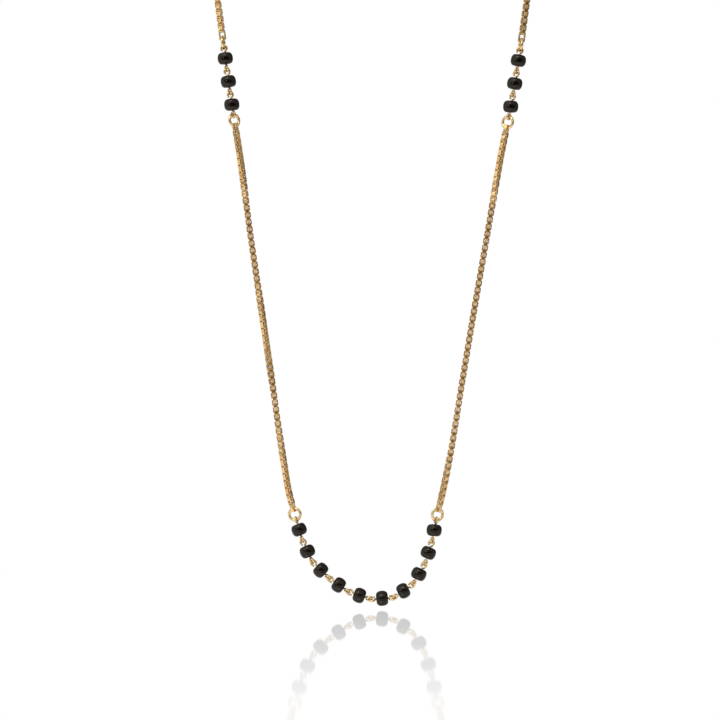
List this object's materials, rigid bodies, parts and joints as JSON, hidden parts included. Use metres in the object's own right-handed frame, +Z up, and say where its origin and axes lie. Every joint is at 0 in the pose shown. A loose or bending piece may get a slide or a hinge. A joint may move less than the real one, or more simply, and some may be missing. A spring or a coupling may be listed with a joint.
{
  "type": "mangalsutra",
  "caption": "Short mangalsutra necklace: fine gold box chain with wire-linked black glass beads at the front and on each side, closed by an S hook.",
  "frame": {"origin": "top middle of the loop, on the underside of the clasp, where the necklace hangs", "axes": "+X to the right as seen from the front, +Y away from the viewer, +Z up; the loop hangs flat in the XZ plane"},
  "size_m": [0.0718, 0.0048, 0.2016],
  "materials": {
    "black_glass": "polished opaque black glass",
    "chain_gold": "polished warm yellow gold box chain",
    "wire_gold": "polished warm yellow gold wire"
  },
  "bodies": {
    "root": {"bead_front_left_1": "black_glass", "bead_front_left_2": "black_glass", "bead_front_left_3": "black_glass", "bead_front_left_4": "black_glass", "bead_front_left_5": "black_glass", "eye_pin_front_left_1": "wire_gold", "eye_pin_front_left_2": "wire_gold", "eye_pin_front_left_3": "wire_gold", "eye_pin_front_left_4": "wire_gold", "eye_pin_front_left_5": "wire_gold", "bead_front_right_1": "black_glass", "bead_front_right_2": "black_glass", "bead_front_right_3": "black_glass", "bead_front_right_4": "black_glass", "bead_front_right_5": "black_glass", "eye_pin_front_right_1": "wire_gold", "eye_pin_front_right_2": "wire_gold", "eye_pin_front_right_3": "wire_gold", "eye_pin_front_right_4": "wire_gold", "eye_pin_front_right_5": "wire_gold", "bead_side_left_1": "black_glass", "bead_side_left_2": "black_glass", "bead_side_left_3": "black_glass", "eye_pin_side_left_1": "wire_gold", "eye_pin_side_left_2": "wire_gold", "eye_pin_side_left_3": "wire_gold", "bead_side_right_1": "black_glass", "bead_side_right_2": "black_glass", "bead_side_right_3": "black_glass", "eye_pin_side_right_1": "wire_gold", "eye_pin_side_right_2": "wire_gold", "eye_pin_side_right_3": "wire_gold", "jump_ring_front_left": "wire_gold", "jump_ring_side_low_left": "wire_gold", "jump_ring_side_top_left": "wire_gold", "jump_ring_clasp_left": "wire_gold", "end_link_front_left": "chain_gold", "end_link_side_low_left": "chain_gold", "end_link_side_top_left": "chain_gold", "end_link_clasp_left": "chain_gold", "jump_ring_front_right": "wire_gold", "jump_ring_side_low_right": "wire_gold", "jump_ring_side_top_right": "wire_gold", "jump_ring_clasp_right": "wire_gold", "end_link_front_right": "chain_gold", "end_link_side_low_right": "chain_gold", "end_link_side_top_right": "chain_gold", "end_link_clasp_right": "chain_gold", "chain_front_left": "chain_gold", "chain_back_left": "chain_gold", "chain_front_right": "chain_gold", "chain_back_right": "chain_gold", "clasp": "wire_gold"}
  },
  "joints": []
}
